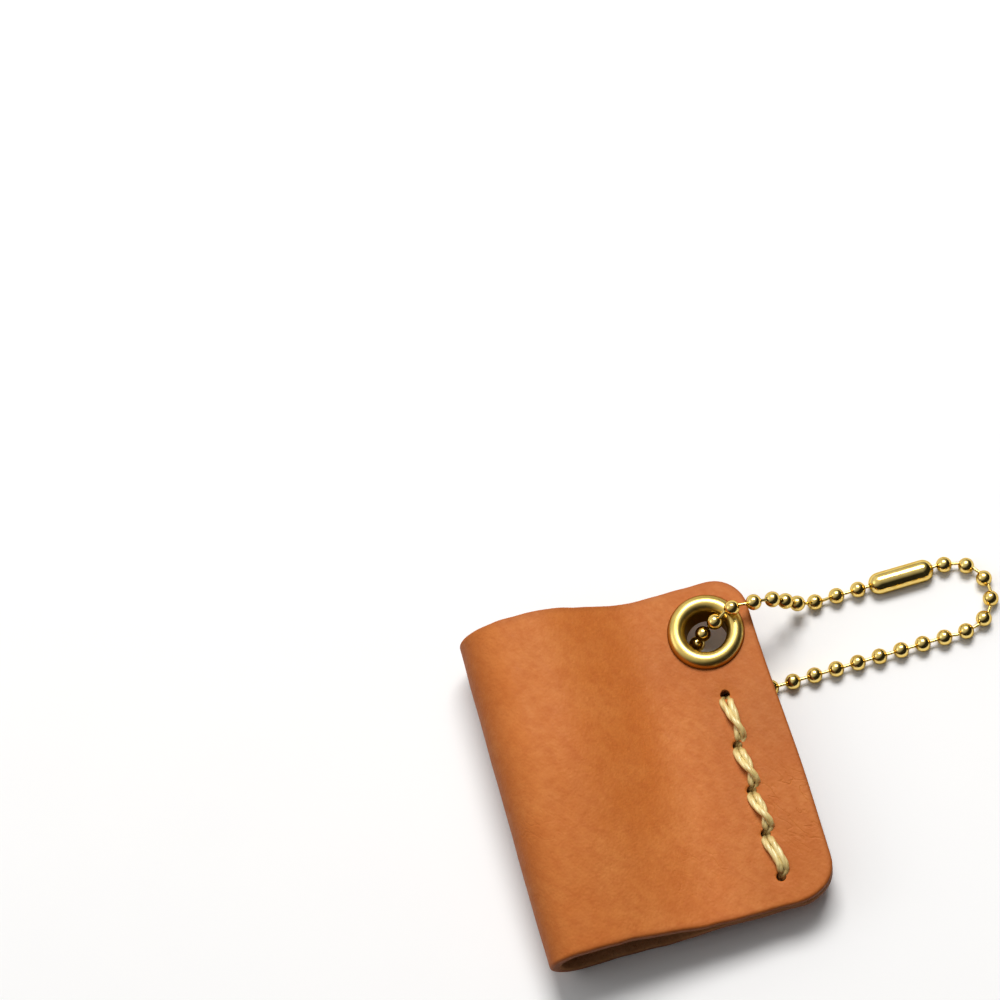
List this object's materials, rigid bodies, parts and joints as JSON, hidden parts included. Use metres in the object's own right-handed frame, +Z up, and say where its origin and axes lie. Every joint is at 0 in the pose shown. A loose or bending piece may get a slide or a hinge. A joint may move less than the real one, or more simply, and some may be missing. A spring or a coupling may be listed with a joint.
{
  "type": "leather pen holder",
  "caption": "Folded leather sleeve that grips a pen, with a sewn double flap, a brass eyelet in its corner and a loop of brass ball chain through the eyelet.",
  "frame": {"origin": "middle of the flat back face that the holder lies on", "axes": "+X from the fold towards the flap's free edge, +Y along the pen towards the eyelet's end, +Z up from the table out of the front face"},
  "size_m": [0.067, 0.0433, 0.0124],
  "materials": {
    "leather": "matte vegetable-tanned",
    "brass_satin": "satin",
    "brass_bright": "polished",
    "thread": "waxed"
  },
  "bodies": {
    "holder": {"leather_body": "leather", "eyelet": "brass_satin", "eyelet_washer": "brass_satin", "stitching": "thread"},
    "chain_near": {"chain_ball_00": "brass_bright", "chain_ball_01": "brass_bright", "chain_ball_02": "brass_bright", "chain_ball_03": "brass_bright", "chain_ball_04": "brass_bright", "chain_ball_05": "brass_bright", "chain_ball_06": "brass_bright", "chain_ball_21": "brass_bright", "chain_ball_22": "brass_bright", "chain_ball_23": "brass_bright", "chain_ball_24": "brass_bright", "chain_ball_25": "brass_bright", "chain_ball_26": "brass_bright", "chain_ball_27": "brass_bright", "chain_ball_28": "brass_bright", "chain_ball_29": "brass_bright", "chain_ball_30": "brass_bright", "chain_ball_31": "brass_bright", "chain_ball_32": "brass_bright", "chain_ball_33": "brass_bright", "chain_ball_34": "brass_bright", "chain_ball_35": "brass_bright", "chain_ball_36": "brass_bright", "chain_links_near": "brass_bright"},
    "chain_mid": {"chain_ball_07": "brass_bright", "chain_ball_08": "brass_bright", "chain_ball_10": "brass_bright", "chain_ball_17": "brass_bright", "chain_ball_18": "brass_bright", "chain_ball_19": "brass_bright", "chain_ball_20": "brass_bright", "chain_links_mid": "brass_bright", "chain_connector": "brass_bright"},
    "chain_far": {"chain_ball_11": "brass_bright", "chain_ball_16": "brass_bright", "chain_links_far": "brass_bright"},
    "chain_end": {"chain_ball_12": "brass_bright", "chain_ball_13": "brass_bright", "chain_ball_14": "brass_bright", "chain_ball_15": "brass_bright", "chain_links_end": "brass_bright"}
  },
  "joints": [
    {"name": "chain_swing", "type": "hinge", "parent": "holder", "child": "chain_near", "pos_m": [0.0207, 0.01475, 0.001], "axis": [0, 0, 1], "range_deg": [-30, 120]},
    {"name": "chain_fold_near", "type": "hinge", "parent": "chain_near", "child": "chain_mid", "pos_m": [0.03997, 0.01156, 0.001], "axis": [0, -1, 0], "range_deg": [-35, 35]},
    {"name": "chain_fold_mid", "type": "hinge", "parent": "chain_mid", "child": "chain_far", "pos_m": [0.05131, 0.01156, 0.001], "axis": [0, -1, 0], "range_deg": [-35, 35]},
    {"name": "chain_fold_far", "type": "hinge", "parent": "chain_far", "child": "chain_end", "pos_m": [0.0541, 0.01156, 0.001], "axis": [0, -1, 0], "range_deg": [-35, 35]}
  ]
}
